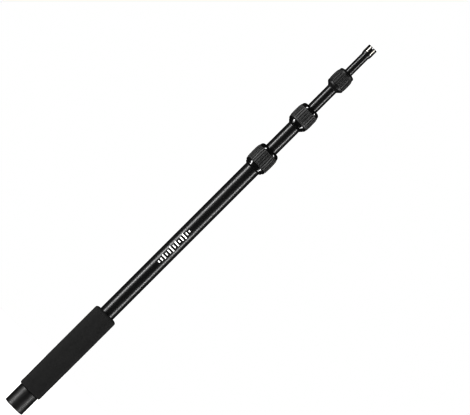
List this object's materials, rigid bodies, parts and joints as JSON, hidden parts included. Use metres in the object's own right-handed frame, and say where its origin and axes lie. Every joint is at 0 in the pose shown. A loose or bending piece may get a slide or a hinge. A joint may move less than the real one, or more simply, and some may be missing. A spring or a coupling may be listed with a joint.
{
  "type": "telescoping boom pole",
  "caption": "Telescoping microphone boom pole: nested black tubes with ribbed twist-lock collars, a foam hand grip and screw-on cap at the butt, and a threaded adapter at the tip.",
  "frame": {"origin": "centre of the butt end's face, on the pole's axis", "axes": "+Z along the pole from the butt to the tip; X and Y are any pair square to it"},
  "size_m": [0.04, 0.04, 0.775],
  "materials": {
    "black_anodised_tube": "satin",
    "gloss_black_metal": "gloss",
    "matt_black_polymer": "satin",
    "ribbed_rubber": "matte",
    "grip_foam": "matte",
    "cap_polymer": "satin",
    "pad_rubber": "matte",
    "inner_nylon": "satin",
    "plated_steel": "satin"
  },
  "bodies": {
    "grip_section": {"grip_tube": "black_anodised_tube", "end_plug": "inner_nylon", "end_cap": "cap_polymer", "bumper_pad": "pad_rubber", "foam_grip": "grip_foam", "ferrule_1": "gloss_black_metal"},
    "lock_1_collet": {"collet_1": "inner_nylon"},
    "lock_1_collar": {"collar_1": "gloss_black_metal", "sleeve_1": "ribbed_rubber", "front_ring_1": "gloss_black_metal"},
    "guide_2": {"guide_ring_2": "inner_nylon"},
    "section_2_body": {"section_2": "black_anodised_tube", "ferrule_2": "gloss_black_metal"},
    "lock_2_collet": {"collet_2": "inner_nylon"},
    "lock_2_collar": {"collar_2": "gloss_black_metal", "sleeve_2": "ribbed_rubber", "front_ring_2": "gloss_black_metal"},
    "guide_3": {"guide_ring_3": "inner_nylon"},
    "section_3_body": {"section_3": "black_anodised_tube", "ferrule_3": "matt_black_polymer"},
    "lock_3_collet": {"collet_3": "inner_nylon"},
    "lock_3_collar": {"collar_3": "matt_black_polymer", "sleeve_3": "ribbed_rubber", "front_ring_3": "matt_black_polymer"},
    "guide_4": {"guide_ring_4": "inner_nylon"},
    "tip_section": {"section_4": "black_anodised_tube", "tip_fitting": "black_anodised_tube", "tip_stud": "plated_steel", "thread_adapter": "plated_steel"}
  },
  "joints": [
    {"name": "section_2_slide", "type": "slide", "parent": "grip_section", "child": "guide_2", "axis": [0, 0, 1], "range_m": [-0.047, 0.376]},
    {"name": "section_2_spin", "type": "hinge", "parent": "guide_2", "child": "section_2_body", "pos_m": [0, 0, 0.132], "axis": [0, 0, 1], "continuous": true},
    {"name": "section_3_slide", "type": "slide", "parent": "section_2_body", "child": "guide_3", "axis": [0, 0, 1], "range_m": [-0.04, 0.381]},
    {"name": "section_3_spin", "type": "hinge", "parent": "guide_3", "child": "section_3_body", "pos_m": [0, 0, 0.22], "axis": [0, 0, 1], "continuous": true},
    {"name": "section_4_slide", "type": "slide", "parent": "section_3_body", "child": "guide_4", "axis": [0, 0, 1], "range_m": [-0.033, 0.41]},
    {"name": "section_4_spin", "type": "hinge", "parent": "guide_4", "child": "tip_section", "pos_m": [0, 0, 0.27], "axis": [0, 0, 1], "continuous": true},
    {"name": "lock_1_advance", "type": "slide", "parent": "grip_section", "child": "lock_1_collet", "axis": [0, 0, 1], "range_m": [0, 0.0015]},
    {"name": "lock_1_twist", "type": "hinge", "parent": "lock_1_collet", "child": "lock_1_collar", "pos_m": [0, 0, 0.535], "axis": [0, 0, 1], "range_deg": [0, 270]},
    {"name": "lock_2_advance", "type": "slide", "parent": "section_2_body", "child": "lock_2_collet", "axis": [0, 0, 1], "range_m": [0, 0.0015]},
    {"name": "lock_2_twist", "type": "hinge", "parent": "lock_2_collet", "child": "lock_2_collar", "pos_m": [0, 0, 0.625], "axis": [0, 0, 1], "range_deg": [0, 270]},
    {"name": "lock_3_advance", "type": "slide", "parent": "section_3_body", "child": "lock_3_collet", "axis": [0, 0, 1], "range_m": [0, 0.0015]},
    {"name": "lock_3_twist", "type": "hinge", "parent": "lock_3_collet", "child": "lock_3_collar", "pos_m": [0, 0, 0.704], "axis": [0, 0, 1], "range_deg": [0, 270]}
  ],
  "couplings": [
    {"joint": "lock_1_advance", "follows": "lock_1_twist", "m_per_rad": 0.0003183},
    {"joint": "lock_2_advance", "follows": "lock_2_twist", "m_per_rad": 0.0003183},
    {"joint": "lock_3_advance", "follows": "lock_3_twist", "m_per_rad": 0.0003183}
  ]
}
